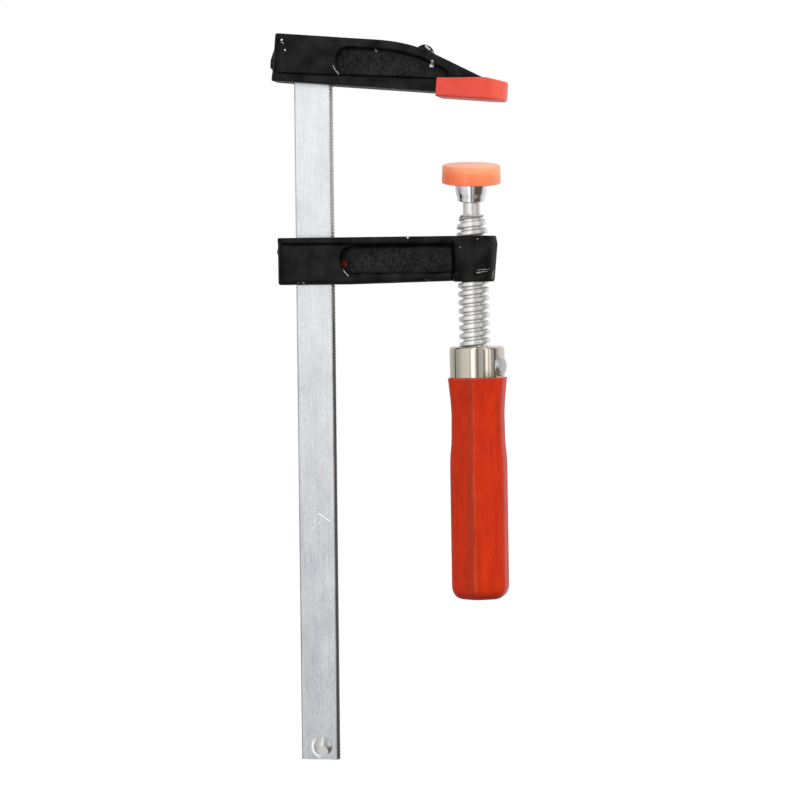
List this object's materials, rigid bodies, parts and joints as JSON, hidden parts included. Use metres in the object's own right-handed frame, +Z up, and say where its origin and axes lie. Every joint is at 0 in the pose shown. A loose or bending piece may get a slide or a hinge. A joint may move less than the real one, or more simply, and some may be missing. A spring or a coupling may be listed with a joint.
{
  "type": "bar clamp",
  "caption": "Light bar clamp: a flat steel bar with a fixed cast jaw, a sliding cast arm and a hand screw with a swivel pad, for gripping work while glue sets.",
  "frame": {"origin": "on the clamping face of the fixed jaw's cap, above the middle of the screw's boss", "axes": "+Z up along the bar towards the fixed jaw, +X from the bar towards the screw, +Y to the back as pictured"},
  "size_m": [0.0853, 0.0225, 0.2609],
  "materials": {
    "bar_steel": "bright zinc plate, drawn",
    "stop_steel": "bright zinc plate",
    "black_casting": "thin black paint over rough casting",
    "jaw_cap_plastic": "soft satin plastic",
    "spindle_steel": "zinc plate over rolled thread",
    "plate_chrome": "bright plate",
    "pad_plastic": "soft plastic, a little see-through",
    "ferrule_nickel": "bright nickel plate",
    "handle_wood": "red lacquer over turned wood",
    "rivet_steel": "zinc plate, hammered"
  },
  "bodies": {
    "bar_and_jaw": {"rail_bar": "bar_steel", "stop_rivet": "stop_steel", "fixed_jaw": "black_casting", "fixed_jaw_cap": "jaw_cap_plastic"},
    "arm": {"sliding_arm": "black_casting"},
    "ball": {"spindle_ball": "spindle_steel"},
    "screw": {"spindle": "spindle_steel", "ferrule": "ferrule_nickel", "handle": "handle_wood", "handle_rivet": "rivet_steel"},
    "pad": {"swivel_plate": "plate_chrome", "swivel_cap": "pad_plastic"}
  },
  "joints": [
    {"name": "arm_slide", "type": "slide", "parent": "bar_and_jaw", "child": "arm", "axis": [0, 0, 1], "range_m": [-0.1628, 0.0006]},
    {"name": "spindle_feed", "type": "slide", "parent": "arm", "child": "ball", "axis": [-0.0157, 0, 0.9999], "range_m": [-0.0098, 0.0191]},
    {"name": "spindle_turn", "type": "hinge", "parent": "ball", "child": "screw", "pos_m": [-0.00072, 0, -0.03221], "axis": [-0.0157, 0, 0.9999], "range_deg": [-1170, 2280]},
    {"name": "pad_tilt", "type": "hinge", "parent": "ball", "child": "pad", "pos_m": [-0.00072, 0, -0.03221], "axis": [0.9425, 0.3338, 0.0148], "range_deg": [-22, 4]}
  ],
  "couplings": [
    {"joint": "spindle_feed", "follows": "spindle_turn", "m_per_rad": 0.00047746}
  ]
}
